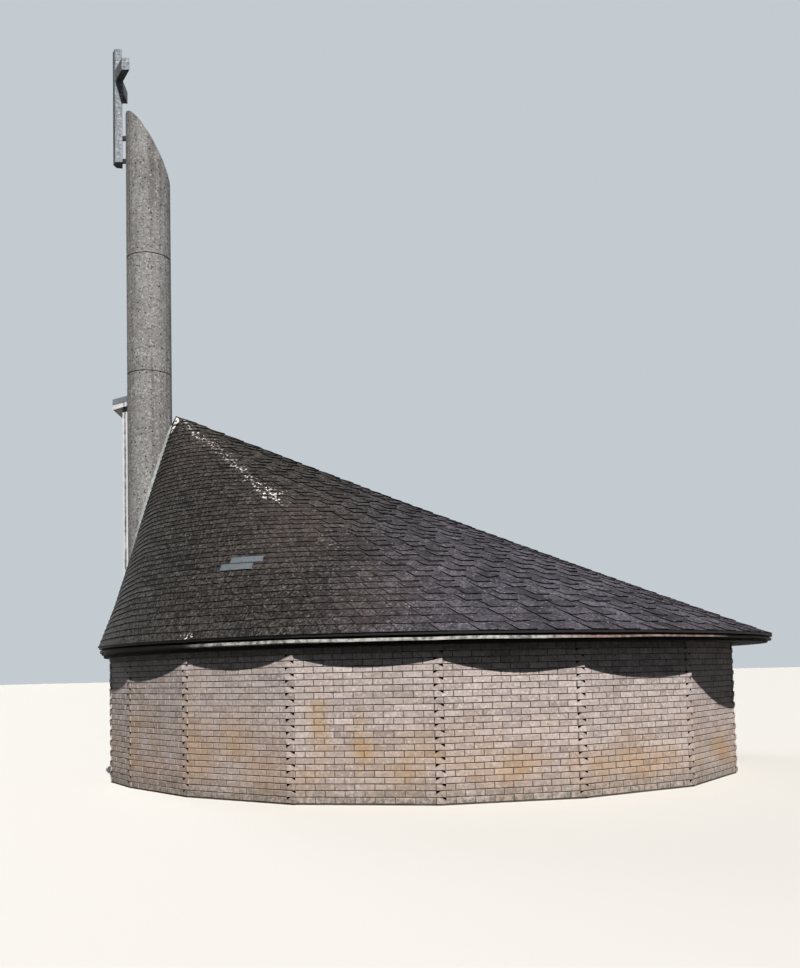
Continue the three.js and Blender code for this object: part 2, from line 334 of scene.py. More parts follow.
def lay_notch_shadow(notch_shadows, facet, x0, x1, z):
    """Painted shadow: dark triangle under a brick end that pokes past a corner, deepest at x1."""
    lift = np.repeat([0.0, PROUD + NOTCH_SHADOW_PROUD], 3)
    points = on_facet(facet, np.tile([x0, x1, x1], 2), lift, np.tile([z, z, z - NOTCH_SHADOW_DEEP], 2))
    notch_shadows.put(points, [(0, 2, 1), (3, 4, 5)] + faces_between([(0, 1)], 3))


def brick_facet(index, material, notch_shadows):
    """Stretcher bond on one facet, toothed at both corners and open at the doorway."""
    a = np.array(WALL[index])
    b = np.array(WALL[(index + 1) % len(WALL)])
    length = np.linalg.norm(b - a)
    along = (b - a) / length
    facet = (a, along, np.array([along[1], -along[0]]))
    wall = Mesh("tone", "age")
    for k in range(COURSES):
        even = k % 2 == 0
        z = WALL_FOOT + k * COURSE
        left = TOOTH if even != (index in EVEN_CORNERS) else -TOOTH
        right = TOOTH if even != ((index + 1) % len(WALL) in EVEN_CORNERS) else -TOOTH
        if k and left > 0:
            lay_notch_shadow(notch_shadows, facet, NOTCH_SHADOW_START, TOOTH, z)
        if k and right < 0:
            lay_notch_shadow(notch_shadows, facet, length - NOTCH_SHADOW_START, length - TOOTH, z)
        spans = [(left, length + right)]
        if index == DOOR_PANEL:
            spans = [(left, length / 2 - DOOR_HALF), (length / 2 + DOOR_HALF, length + right)]
        for x0, x1 in spans:
            count = max(1, round((x1 - x0) / BRICK_LONG))
            step = (x1 - x0) / count
            for j in range(count):
                tone = rng.normal(0.5, TONE_SPREAD) - DARK_STEP * (rng.random() < DARK_SHARE)
                tone = float(np.clip(tone, 0, 1))
                lay_brick(wall, facet, x0 + j * step, x0 + (j + 1) * step, z, tone, rng.random())
    wall.piece(f"brick_face_{index + 1:02d}", material, "brick")


# Ochre runs on the wall: centre, reach and strength
OCHRE_RUNS = [
    ((-1.55, -5.10, 1.10), (0.26, 0.6, 0.60), 0.8),
    ((-0.97, -5.22, 0.75), (0.20, 0.6, 0.75), 0.9),
    ((-0.30, -5.35, 0.55), (0.60, 0.6, 0.45), 0.5),
    ((-3.35, -4.05, 1.00), (0.40, 0.5, 0.90), 0.6),
    ((-2.70, -4.60, 0.90), (0.50, 0.6, 0.80), 0.45),
    ((-4.40, -2.90, 0.90), (0.60, 0.7, 0.80), 0.5),
    ((5.05, -1.50, 0.22), (0.45, 0.8, 0.34), 1.0),
    ((4.35, -2.90, 0.42), (0.90, 0.9, 0.22), 0.5),
    ((2.60, -4.60, 0.42), (1.50, 1.2, 0.26), 0.5),
    ((0.90, -5.25, 0.45), (0.95, 0.6, 0.28), 0.4),
]


def brick_material():
    """Buff calcium silicate brick, pressed and slightly open: dry, matt, pinkish grey with cloudy patches.

    Its sand grains are too fine to show, so they are drawn in clumps of 28 mm.
    """
    material, tree, place = new_material("pressed_buff_brick")
    tone = add(tree, "Attribute", attribute_name="tone").outputs["Fac"]
    age = add(tree, "Attribute", attribute_name="age").outputs["Fac"]
    sand = clumps(tree, place, 0.028)
    colour = stain(tree, "#9C8F8B", "#D3C6C2", tone)
    colour = stain(tree, colour, "#B9A594", (age, 0.86, 0.95, 0.0, 0.3))
    colour = stain(tree, colour, "#7C706B", (sand[0], 0.55, 1.0, 0.0, 0.42))
    colour = stain(tree, colour, "#EDE4E1", (sand[1], 0.65, 1.0, 0.0, 0.45))

    # Ochre runs, then warm lower courses
    fine = grain(tree, place, 0.03, 4.0)
    broad = grain(tree, place, 0.28)
    cloudy = mask(tree, (broad, 0.35, 0.65))
    for centre, reach, strength in OCHRE_RUNS:
        colour = stain(tree, colour, "#B48F4C", spot(tree, place, centre, reach), cloudy, strength)
    z = add(tree, "SeparateXYZ", {0: place}).outputs[2]
    colour = stain(tree, colour, "#B9936A", (z, 1.35, 0.35), (broad, 0.4, 0.7, 0.15, 0.55))

    # Speckled splash zone at the foot, and painted shade darkening the top course under the soffit
    grit = add(tree, "TexVoronoi", {"Vector": place, "Scale": 1 / 0.022}).outputs["Color"]
    colour = stain(tree, colour, "#83796F", (z, 0.34, 0.05), (fine, 0.42, 0.56))
    colour = stain(tree, colour, "#A9A5A0", (z, 0.26, 0.08), (grit, 0.55, 0.8, 0.0, 0.75))
    colour = stain(tree, colour, "#3A3534", (z, 1.90, 1.96, 0.0, 0.55))

    height = stain(tree, grain(tree, place, 0.012, 2.0), fine, 0.5)
    finish_material(tree, colour, 0.92, height, bump=0.35, depth=0.003)
    return material


def notch_shadow_material():
    """Near-black colour of the painted shadows under the brick ends that poke past the corners."""
    material, tree, place = new_material("painted_notch_shadow")
    colour = stain(tree, "#0B0908", "#1D1815", grain(tree, place, 0.01))
    finish_material(tree, colour, 0.95, Specular_IOR_Level=0.1)
    return material


def mortar_material():
    """Struck cement and sand mortar, weathered dark brown-grey in the joints."""
    material, tree, place = new_material("weathered_mortar")
    sand = grain(tree, place, 0.004, 2.0)
    colour = stain(tree, "#3C3632", "#655B54", sand)
    colour = stain(tree, colour, "#7A6E64", (grain(tree, place, 0.25), 0.35, 0.7, 0.0, 0.4))
    finish_material(tree, colour, 0.95, sand, bump=0.4, depth=0.002)
    return material


# Roof

# Points between two corners of the eave, how near a corner of the CAD shell lies to the eave line, and
# the distance to either side that gives the eave's direction
EAVE_FINE = 16
EAVE_NEAR = 2e-4
EAVE_ASIDE = 0.05

# Makes the curve t (1 - t)^3 reach 1 at its highest
DIP_SCALE = 9.48


def eave_curve():
    """Smooth closed eave line through the corners of the CAD roof shell, and its running length."""
    corners = {(round(v.co.x, 4), round(v.co.y, 4)) for v in NODES["roof_shell"].data.vertices
               if abs(v.co.z - EAVE_TOP + EAVE_FALL * v.co.x) < EAVE_NEAR}
    corners = np.array(sorted(corners, key=lambda p: math.atan2(p[1], p[0])))
    samples = []
    count = len(corners)
    for i in range(count):
        p0, p1, p2, p3 = (corners[(i + d) % count] for d in (-1, 0, 1, 2))
        for t in np.arange(EAVE_FINE) / EAVE_FINE:
            samples.append(0.5 * (2 * p1 + (p2 - p0) * t + (2 * p0 - 5 * p1 + 4 * p2 - p3) * t ** 2
                                  + (3 * p1 - p0 - 3 * p2 + p3) * t ** 3))
    samples = np.array(samples + [samples[0]])
    runs = np.concatenate([[0], np.cumsum(np.linalg.norm(np.diff(samples, axis=0), axis=1))])
    return samples, runs


# An eave position is the run along the eave from its west end through the front
EAVE, EAVE_RUN = eave_curve()
EAVE_LENGTH = EAVE_RUN[-1]


def eave_point(s):
    """Plan points at eave positions."""
    s = np.mod(s, EAVE_LENGTH)
    return np.column_stack([np.interp(s, EAVE_RUN, EAVE[:, 0]), np.interp(s, EAVE_RUN, EAVE[:, 1])])


def eave_ahead(s):
    """Direction of the eave at its positions, not of unit length."""
    return eave_point(s + EAVE_ASIDE) - eave_point(s - EAVE_ASIDE)


def on_roof(s, z, lift):
    """Points over the roof cone at eave position s and height z, lifted square to it."""
    s, z, lift = (np.atleast_1d(np.asarray(v, float)) for v in (s, z, lift))
    f = (z - EAVE_TOP) / (APEX[2] - EAVE_TOP)
    foot = eave_point(s)
    foot3 = np.column_stack([foot, EAVE_TOP - EAVE_FALL * foot[:, 0]])
    slope = APEX - foot3
    rings = np.arange(SAG_STEPS + 1) / SAG_STEPS
    run = np.hypot(slope[:, 0], slope[:, 1])
    dip = WEST_DIP * np.clip((WEST_RUN - run) / WEST_FADE, 0, 1)
    foot3[:, 2] -= np.interp(f, rings, 4 * rings * (1 - rings)) * ROOF_SAG * (run / LONGEST_RUN) ** 2
    foot3[:, 2] -= np.interp(f, rings, DIP_SCALE * rings * (1 - rings) ** 3) * dip
    across = np.column_stack([eave_ahead(s), np.zeros(len(foot))])
    normal = np.cross(across, slope)
    normal /= np.linalg.norm(normal, axis=1)[:, None]
    return foot3 + slope * f[:, None] + normal * lift[:, None]


def s_of(x, y):
    """Eave position of the generator over the plan point x, y."""
    v = np.array([x, y]) - APEX[:2]
    rel = EAVE - APEX[:2]
    turn = np.arctan2(rel[:, 0] * v[1] - rel[:, 1] * v[0], rel @ v)
    return EAVE_RUN[int(np.argmin(np.abs(turn)))]


def roof_height(x, y):
    """Height of the roof cone over a plan point."""
    levels = np.linspace(EAVE_TOP, APEX[2], 60)
    line = on_roof(np.full(len(levels), s_of(x, y)), levels, 0)
    away = np.hypot(line[:, 0] - APEX[0], line[:, 1] - APEX[1])
    return float(np.interp(math.hypot(x - APEX[0], y - APEX[1]), away[::-1], line[::-1, 2]))


# Heights that the courses show: more near the eave, fading upwards, and a little more under the apex
COURSE_START = 0.004
COURSE_SHOWS = 0.075
MORE_AT_EAVE = 0.042
EAVE_REACH = 0.8
MORE_AT_TOP = 0.008
TOP_FROM = 5.3
TOP_LEFT = 0.10

# Shingle tabs: size, seat on the felt, and how far a head runs under the next course
TAB_WIDE = 0.250
TAB_SLOT = 0.010
TAB_THICK = 0.017
TAB_SEAT = 0.003
TAB_LAP = 0.35
HEAD_SEAT = 0.0005
HEAD_THICK = 0.004
BELOW_APEX = 0.01
INSIDE_BOX = 0.0008

# Columns of a tab, more of them within a reach of the tower or the lantern, and how far inside their
# outlines a tab is hidden
TAB_COLUMNS = 2
TAB_COLUMNS_FINE = 12
TOWER_REACH = 0.35
LANTERN_REACH = 0.3
HIDE_MARGIN = 0.01

# Strips of up to three tabs: spread of their shift, tones, climb, unevenness and curl
BAND_STARTS = [0, 9, 19, 31]
STRIP_TABS = 3
SHIFT_SPREAD = 0.2
STRIP_TONE = 0.10
TAB_TONE = 0.17
CLIMB = (0.004, 0.040)
UNEVEN = 0.003
CURL = 0.002

# From here eastwards the butts make a stepped pattern: tabs proud and flush by turns, with wider slots
STEPS_FROM = -0.6
STEPS_FULL = 2.0
STEP_PROUD = 0.35
STEP_FLUSH = -0.6
STEP_SLOT = 0.7

# Generator down the front along which light flecks gather, half its band's width, and plan distances from
# the apex where the band starts and ends and where it is brightest
FLECK_LINE = s_of(-1.0, -4.38)
FLECK_HALF = 0.10
FLECK_FROM = 0.25
FLECK_TO = 3.4
FLECK_HEAP = 3.1

# Flecks at the eave as x and z, flecks beside the tower, warm patches with their reach, and where the roof
# turns from its dark left to its purplish right
EAVE_FLECKS = (-3.45, 2.20)
TOWER_FLECKS = (-5.0, -0.85)
WARM_SPOTS = [((-3.9, -1.18), 0.35), ((-1.9, -3.3), 0.75), ((-0.8, -4.9), 0.55)]
RIGHT_FROM = -1.7
RIGHT_FULL = 2.2


def course_levels():
    """Heights of the shingle butts from the eave to the apex."""
    levels = [EAVE_TOP + COURSE_START]
    while levels[-1] < APEX[2] - TOP_LEFT:
        z = levels[-1]
        shows = COURSE_SHOWS + MORE_AT_EAVE * math.exp(-(z - EAVE_TOP) / EAVE_REACH)
        levels.append(z + shows + MORE_AT_TOP * (z > TOP_FROM))
    return levels


def covered(points):
    """True for roof points under the tower or the lantern."""
    x, y = points[:, 0], points[:, 1]
    x0, x1, y0, y1 = LANTERN
    m = HIDE_MARGIN
    in_tower = np.hypot(x - TOWER_X, y - TOWER_Y) < TOWER_R - m
    in_lantern = (x > x0 + m) & (x < x1 - m) & (y > y0 + m) & (y < y1 - m)
    return in_tower | in_lantern


def bell(off, reach):
    """1 where off is 0, and falling away round it."""
    return np.exp(-(off / reach) ** 2)


def region_values(points):
    """How fleck-strewn, warm and far on its right side the roof is at each point, from 0 to 1."""
    x, y, z = points.T
    line = eave_point([FLECK_LINE])[0] - APEX[:2]
    line = line / np.linalg.norm(line)
    rel = points[:, :2] - APEX[:2]
    off = np.abs(rel[:, 0] * line[1] - rel[:, 1] * line[0])
    far = rel @ line
    band = bell(off, FLECK_HALF) * np.where((far > FLECK_FROM) & (far < FLECK_TO), 0.75, 0.1)
    heap = bell(far - FLECK_HEAP, 0.25) * bell(off, 0.2)
    eave = bell(x - EAVE_FLECKS[0], 0.22) * bell(z - EAVE_FLECKS[1], 0.08)
    beside = bell(np.hypot(x - TOWER_FLECKS[0], y - TOWER_FLECKS[1]), 0.3)
    fleck = np.clip(band + 0.6 * heap + eave + 0.5 * beside, 0, 1)
    warm = np.max([bell(np.hypot(x - wx, y - wy), reach) for (wx, wy), reach in WARM_SPOTS], axis=0)
    side = np.clip((x - RIGHT_FROM) / RIGHT_FULL, 0, 1)
    return fleck, warm, side


def tab_columns(points):
    """Columns of a tab, more where it meets the tower or lantern."""
    x0, x1, y0, y1 = LANTERN
    m = LANTERN_REACH
    px, py = points[:, 0].mean(), points[:, 1].mean()
    near_tower = math.hypot(px - TOWER_X, py - TOWER_Y) < TOWER_R + TOWER_REACH
    near_lantern = x0 - m < px < x1 + m and y0 - m < py < y1 + m
    return TAB_COLUMNS_FINE if near_tower or near_lantern else TAB_COLUMNS


def lay_tab(roof, span, levels, climbs, tone, curl, proud):
    """One shingle tab over a span of eave positions, its butt at the first level, its head at the second.

    The two climbs lift its left and right end. A tab that is less proud is thinner at its butt.
    """
    columns = tab_columns(on_roof(span, levels[0], 0))
    s = np.linspace(*span, columns + 1)
    climb = np.linspace(*climbs, columns + 1)
    butt = levels[0] + climb
    head = np.minimum(levels[1] + climb, APEX[2] - BELOW_APEX)
    lifted = TAB_SEAT + TAB_THICK * proud + curl * np.abs(np.linspace(-1, 1, columns + 1))
    rows = [on_roof(s, butt, TAB_SEAT), on_roof(s, butt, lifted),
            on_roof(s, head, HEAD_THICK), on_roof(s, head, HEAD_SEAT)]
    hidden = covered(rows[0]) & covered(rows[3])
    keep = ~(hidden[:-1] & hidden[1:])
    start = 0
    while start < columns:
        if not keep[start]:
            start += 1
            continue
        end = start
        while end < columns and keep[end]:
            end += 1
        n = end - start + 1
        points = np.concatenate([row[start:end + 1] for row in rows])
        points = np.clip(points, BOX_LOW + INSIDE_BOX, BOX_HIGH - INSIDE_BOX)
        fleck, warm, side = region_values(points)
        roof.put(points, faces_between(row_pairs(4)[1:], n, looped=False),
                 tone=tone, fleck=fleck, warm=warm, side=side)
        # Cut edges, whose bare binder is black, darker on proud tabs as painted shade
        cuts = faces_between([(0, 1)], n, looped=False) + end_faces(n)
        roof.put(points, cuts, tone=tone, side=side, edge=min(1.0, proud))
        start = end


def shingle_course(roof, j, z0, z1):
    """One course of strips round the roof, butts at z0 and heads at z1."""
    shrink = 1 - (z0 - EAVE_TOP) / (APEX[2] - EAVE_TOP)
    count = max(8, round(EAVE_LENGTH * shrink / TAB_WIDE))
    wide = EAVE_LENGTH / count
    slot = TAB_SLOT / shrink / 2
    shift = (0.5 * (j % 2) + rng.uniform(-SHIFT_SPREAD, SHIFT_SPREAD)) * wide
    i = 0
    while i < count:
        run = min(int(rng.integers(1, STRIP_TABS + 1)), count - i)
        strip_tone = rng.normal(0, STRIP_TONE)
        foot = eave_point([shift + (i + run / 2) * wide])[0]
        stepped = np.clip((foot[0] - STEPS_FROM) / STEPS_FULL, 0, 1) * (1 if foot[1] < 0 else -1)
        climb = stepped * rng.uniform(*CLIMB) * min(1, 3 * shrink)
        drop = rng.normal(0, UNEVEN) if j else 0
        for t in range(run):
            proud = 1 + max(stepped, 0) * (STEP_PROUD if (i + t + j) % 2 else STEP_FLUSH)
            gap = slot * (1 + STEP_SLOT * max(stepped, 0))
            span = (shift + (i + t) * wide + gap, shift + (i + t + 1) * wide - gap)
            climbs = [drop + climb * (n / run - 0.5) if j else 0 for n in (t, t + 1)]
            tone = float(np.clip(0.5 + strip_tone + rng.normal(0, TAB_TONE), 0, 1))
            lay_tab(roof, span, (z0, z1), climbs, tone, rng.uniform(0, CURL), proud)
        i += run


def shingle_roof(material):
    """Courses of shingle strips from the eave to the apex, in four pieces by height."""
    levels = course_levels()
    bands = BAND_STARTS + [len(levels) - 1]
    for band in range(len(BAND_STARTS)):
        roof = Mesh("tone", "fleck", "warm", "side", "edge")
        for j in range(bands[band], bands[band + 1]):
            z0, z1 = levels[j], levels[j + 1]
            shingle_course(roof, j, z0, z1 + TAB_LAP * (z1 - z0))
        roof.piece(f"shingle_courses_{band + 1}", material, "shingle")


def shingle_material():
    """Mineral-faced asphalt shingle: dark binder under coloured granules, dull, lichened and bare in spots.

    The granules are too fine to show, so they are drawn in clumps of 27 mm.
    """
    material, tree, place = new_material("asphalt_shingle")
    value = {name: add(tree, "Attribute", attribute_name=name).outputs["Fac"]
             for name in ("tone", "fleck", "warm", "side", "edge")}
    granule = clumps(tree, place, 0.027)
    dark = stain(tree, "#0E0D0D", "#1D1B20", value["side"])
    light = stain(tree, "#484442", "#66626C", value["side"])
    speck = stain(tree, mask(tree, (granule[0], 0.25, 0.97)), MIDDLE, (value["side"], 0.0, 1.0, 0.0, 0.45))
    colour = stain(tree, dark, light, speck, (value["tone"], 0.1, 0.9, 0.35, 1.5))

    # Broad dark clouds, warm patches, moss on the left and painted glints on single granules
    colour = stain(tree, colour, "#141213", (grain(tree, place, 0.5, 4.0), 0.35, 0.7, 0.0, 0.4))
    colour = stain(tree, colour, "#4C403D", value["warm"], (grain(tree, place, 0.12), 0.35, 0.65, 0.1, 0.55))
    colour = stain(tree, colour, "#66645A", (granule[1], 0.88, 0.92, 0.0, 0.4), (value["side"], 0.5, 0.0))
    glint_colour = stain(tree, "#8A8781", "#A9A4AE", value["side"])
    colour = stain(tree, colour, glint_colour, (granule[2], 0.96, 0.98, 0.0, 0.3))

    # Pale flecks of lost mineral: a few everywhere, more where the roof is fleck-strewn
    chips = add(tree, "TexVoronoi", {"Vector": place, "Scale": 1 / 0.030}).outputs["Color"]
    few = mask(tree, (chips, 0.78, 0.82), (grain(tree, place, 0.10), 0.48, 0.60),
               (value["fleck"], 0.0, 0.6, 0.10, 1.0))
    many = mask(tree, (chips, 0.70, 0.74), (value["fleck"], 0.45, 0.8))
    flecks = add(tree, "Math", {0: few, 1: many}, operation="MAXIMUM").outputs[0]
    colour = stain(tree, colour, "#D9D2CE", flecks)

    # Black binder on the cut edges, plus painted shade that is strongest on proud tabs
    colour = stain(tree, colour, "#070606", value["edge"], (grain(tree, place, 0.09), 0.4, 0.55, 0.55, 1.0))
    finish_material(tree, colour, 0.9, granule[0], bump=0.6, depth=0.005, Specular_IOR_Level=0.25)
    return material


def felt_material():
    """Bitumen felt under the shingles and in their slots: black, dull."""
    material, tree, place = new_material("bitumen_felt")
    colour = stain(tree, "#080707", "#151314", grain(tree, place, 0.01))
    finish_material(tree, colour, 0.8, grain(tree, place, 0.006), bump=0.3, depth=0.002)
    return material


# Repair slips: lift of their underside over the roof, thickness, lean along the eave and ragged edge
SLIP_LIFT = 0.022
SLIP_THICK = 0.005
SLIP_LEAN = 0.10
SLIP_RAGGED = 0.002
SLIP_COLUMNS = 8


def slip(name, left, right, z0, z1, material):
    """Thin slip pushed under the shingles in a repair, between two plan points and two heights."""
    s = np.linspace(s_of(*left), s_of(*right), SLIP_COLUMNS + 1)
    ragged = rng.normal(0, SLIP_RAGGED, SLIP_COLUMNS + 1)
    top = SLIP_LIFT + SLIP_THICK
    rows = [on_roof(s, z0 + ragged, SLIP_LIFT), on_roof(s, z0 + ragged, top),
            on_roof(s + SLIP_LEAN, z1 + ragged, top), on_roof(s + SLIP_LEAN, z1 + ragged, SLIP_LIFT)]
    plate = Mesh()
    plate.put(np.concatenate(rows), faces_between(row_pairs(4), len(s), looped=False) + end_faces(len(s)))
    plate.piece(name, material, "shingle")


def repair_slips(material):
    """Two pale slips on the front left, one above the other."""
    slip("repair_slip_upper", (-2.832, -3.803), (-2.327, -4.055), 3.275, 3.365, material)
    slip("repair_slip_lower", (-2.990, -3.806), (-2.460, -4.114), 3.170, 3.265, material)


def slip_material():
    """Fresh grey-blue slip, its mineral hardly weathered."""
    material, tree, place = new_material("repair_slip_mineral")
    speck = grain(tree, place, 0.01)
    colour = stain(tree, "#454B50", "#687076", (speck, 0.3, 0.7))
    finish_material(tree, colour, 0.7, speck, bump=0.3, depth=0.002)
    return material


# Flashing round the tower: points round it, width of its upstand, narrow at the far west, its greatest
# rise where the roof is steep, and its thickness, greatest towards the east
FLASHING_SIDES = 192
UPSTAND = 0.060
UPSTAND_WEST = 0.008
WEST_ANGLES = np.radians([-155, -128])
TALLEST_UPSTAND = 0.30
FLASHING_THICK = (0.010, 0.028)
SKIRT_REACH = 0.045

# Its section from the tower outwards and back: distance in thicknesses, share of the rise, height over
# the roof, and whether it follows the roof there or the line on the tower
FLASHING_SECTION = [
    (0.001, 1, 0.0, False), (0.6, 1, 0.0, False), (1.0, 0, 0.020, True),
    (3.4, 0, 0.018, True), (3.4, 0, 0.002, True), (0.001, 0, -0.010, False),
]


def tower_flashing(material):
    """Strip of metal and sealant where the shingles meet the tower: an upstand and a narrow skirt."""
    angles = np.linspace(-math.pi, math.pi, FLASHING_SIDES, endpoint=False)
    line = [roof_height(TOWER_X + TOWER_R * math.cos(a), TOWER_Y + TOWER_R * math.sin(a)) for a in angles]
    climb = (np.roll(line, -1) - np.roll(line, 1)) / (4 * math.pi / FLASHING_SIDES * TOWER_R)
    wide = np.interp(angles, WEST_ANGLES, [UPSTAND_WEST, UPSTAND])
    rise = np.minimum(wide * np.sqrt(1 + climb ** 2), TALLEST_UPSTAND)
    thick = np.interp(np.cos(angles), [0.3, 1.0], FLASHING_THICK)
    points = []
    for out, share, over, on_slope in FLASHING_SECTION:
        for n, angle in enumerate(angles):
            wavy = 0.004 * math.sin(9 * angle) + 0.003 * math.sin(23 * angle + 1) if out > 2 else 0
            r = TOWER_R + min(out * thick[n], SKIRT_REACH) + wavy
            x = TOWER_X + r * math.cos(angle)
            y = TOWER_Y + r * math.sin(angle)
            foot = roof_height(x, y) if on_slope else line[n]
            points.append((x, y, foot + share * rise[n] + over))
    flashing = Mesh()
    flashing.put(points, faces_between(row_pairs(len(FLASHING_SECTION)), FLASHING_SIDES, flipped=True))
    flashing.piece("tower_flashing", material, "cap_metal")


def flashing_material():
    """Lead sheet with grey sealant, oxidised to a dull pale grey-blue."""
    material, tree, place = new_material("oxidised_lead_flashing")
    cloud = grain(tree, place, 0.06)
    colour = stain(tree, "#8B9292", "#B4BBBB", (cloud, 0.3, 0.7))
    finish_material(tree, colour, 0.6, cloud, bump=0.3, depth=0.003)
    return material


# Dab of sealant beside the tower: its outline, the height of its top over the roof, and its thickness
DAB = [(-4.475, -0.47), (-4.42, -0.50), (-4.33, -0.44), (-4.36, -0.38), (-4.40, -0.34), (-4.45, -0.40)]
DAB_TOP = 0.045
DAB_THICK = 0.035


def apex_sealant(material):
    """Dab of sealant on the roof just below the apex."""
    top = [(x, y, roof_height(x, y) + DAB_TOP) for x, y in DAB]
    low = [(x, y, z - DAB_THICK) for x, y, z in top]
    n = len(DAB)
    faces = [tuple(range(n)), tuple(reversed(range(n, 2 * n)))] + faces_between([(0, 1)], n, flipped=True)
    dab = Mesh()
    dab.put(top + low, faces)
    dab.piece("apex_sealant", material, "cap_metal")


def sealant_material():
    """White roof sealant: smooth, a little dirty."""
    material, tree, place = new_material("white_roof_sealant")
    cloud = grain(tree, place, 0.03)
    colour = stain(tree, "#F2F2F0", "#C9C9C6", (cloud, 0.4, 0.7))
    finish_material(tree, colour, 0.5, cloud, bump=0.3, depth=0.003)
    return material


# Eave

def strip_material():
    """White paint on the eave strip: worn and pinkish towards the east, with painted shade darkening both
    ends.
    """
    material, tree, place = new_material("white_strip_worn_and_shaded")
    x = add(tree, "SeparateXYZ", {0: place}).outputs[0]
    worn = grain(tree, place, 0.05, 4.0)
    colour = stain(tree, "#CFCDC8", "#A58C85", (x, 1.1, 2.0))
    colour = stain(tree, colour, "#4E4946", (worn, 0.42, 0.60, 0.0, 0.8))
    # Painted shade: both ends of the strip darkened where the shingle edge shadows it
    colour = stain(tree, colour, "#1A1716", (x, 3.95, 4.15))
    colour = stain(tree, colour, "#1E1B19", (x, -3.0, -3.5))
    finish_material(tree, colour, 0.75, worn, bump=0.3, depth=0.002, Specular_IOR_Level=0.2)
    return material


def board_material():
    """Softwood boards under old black stain, dry and nearly black; on the wall head the near-black is
    painted shade under the soffit.
    """
    material, tree, place = new_material("black_softwood_and_painted_shade")
    fibre = grain(tree, place, 0.02, 5.0)
    colour = stain(tree, "#060506", "#12100F", (fibre, 0.3, 0.7))
    finish_material(tree, colour, 0.85, fibre, bump=0.4, depth=0.002, Specular_IOR_Level=0.1)
    return material


# Lath under the shingle edge: its two faces inwards of the eave, its edges' heights, and how much slimmer
# it gets over a stretch towards the east
LATH_POINTS = 720
LATH_FRONT = 0.016
LATH_BACK = 0.040
LATH_LOW = 2.068
LATH_TOP = 2.106
LATH_SLIMMER = 0.018
SLIM_FROM = 1.0
SLIM_FULL = 2.5


def drip_lath(material):
    """Light lath along the eave under the shingle edge, in front of the strip."""
    s = np.linspace(0, EAVE_LENGTH, LATH_POINTS, endpoint=False)
    line = eave_point(s)
    ahead = eave_ahead(s)
    inwards = np.column_stack([-ahead[:, 1], ahead[:, 0]]) / np.linalg.norm(ahead, axis=1)[:, None]
    waver = 0.003 * np.sin(s * 2.3) + 0.002 * np.sin(s * 5.1 + 1) - EAVE_FALL * line[:, 0]
    low = LATH_LOW + waver + LATH_SLIMMER * np.clip((line[:, 0] - SLIM_FROM) / SLIM_FULL, 0, 1)
    top = LATH_TOP + waver
    rows = [np.column_stack([line + inwards * inset, z])
            for inset, z in ((LATH_FRONT, low), (LATH_FRONT, top), (LATH_BACK, top), (LATH_BACK, low))]
    lath = Mesh()
    lath.put(np.concatenate(rows), faces_between(row_pairs(4), LATH_POINTS))
    lath.piece("drip_lath", material, "eave_strip")


# Tower and cross

def concrete_material(name, dark, mid, light, holes, white, streak, shade_share=0.0):
    """Cast concrete with exposed aggregate: grey paste, pale and dark grains, blowholes, rain streaks.

    The aggregate is too fine to show, so it is drawn in clumps of 26 mm. Holes, white and streak are the
    shares of blowholes, pale grains and streaks. Shade share is how strongly painted shade darkens the
    undersides and the west faces.
    """
    material, tree, place = new_material(name)
    paste = grain(tree, place, 0.02)
    colour = stain(tree, mid, light, (paste, 0.32, 0.68))
    colour = stain(tree, colour, dark, (grain(tree, place, 0.25, 4.0), 0.42, 0.75, 0.0, 0.45))
    colour = stain(tree, colour, dark, (grain(tree, place, 0.05, upright=0.03), 0.45, 0.70, 0.0, streak))
    stones = clumps(tree, place, 0.026)
    colour = stain(tree, colour, "#D9D9D8", (stones[0], 0.80, 1.0, 0.0, white))
    colour = stain(tree, colour, "#4A4848", (stones[1], 0.75, 1.0, 0.0, 0.75))

    # Blowholes in some cells of 85 mm, painted dark as the shade inside them
    cells = add(tree, "TexVoronoi", {"Vector": place, "Scale": 1 / 0.085})
    pit = mask(tree, (cells.outputs["Distance"], 0.20, 0.15),
               (cells.outputs["Color"], 1 - holes, 1 - holes + 0.05))
    colour = stain(tree, colour, "#1B1918", pit, 0.9)
    if shade_share:
        normal = facing(tree)
        # Painted shade: darker undersides and west faces
        colour = stain(tree, colour, "#151312", (normal[2], -0.2, -0.6), shade_share)
        colour = stain(tree, colour, "#2C2E31", (normal[0], -0.4, -0.8), shade_share * 0.7)
    height = add(tree, "Math", {0: paste, 1: pit}, operation="SUBTRACT").outputs[0]
    finish_material(tree, colour, 0.93, height, bump=0.5, depth=0.006)
    return material


# Precast rings: points round them, how far they keep inside the CAD sections, gap at a joint, rounding of
# their edges there, and the rounding at the slanted top as distances in from the face and down
RING_SIDES = 128
RING_INSIDE = 0.001
RING_GAP = 0.002
RING_EASE = 0.012
TOP_EASE = [(0.0, 0.030), (0.016, 0.004), (TOWER_WALL, 0.0)]
PARTS = (0.25, 0.5, 0.75)


def slant(x, y):
    """Height of the slanted tower top over a plan point."""
    return TOWER_TOP_MID + TOWER_SLOPE_X * (x - TOWER_X) + TOWER_SLOPE_Y * (y - TOWER_Y)


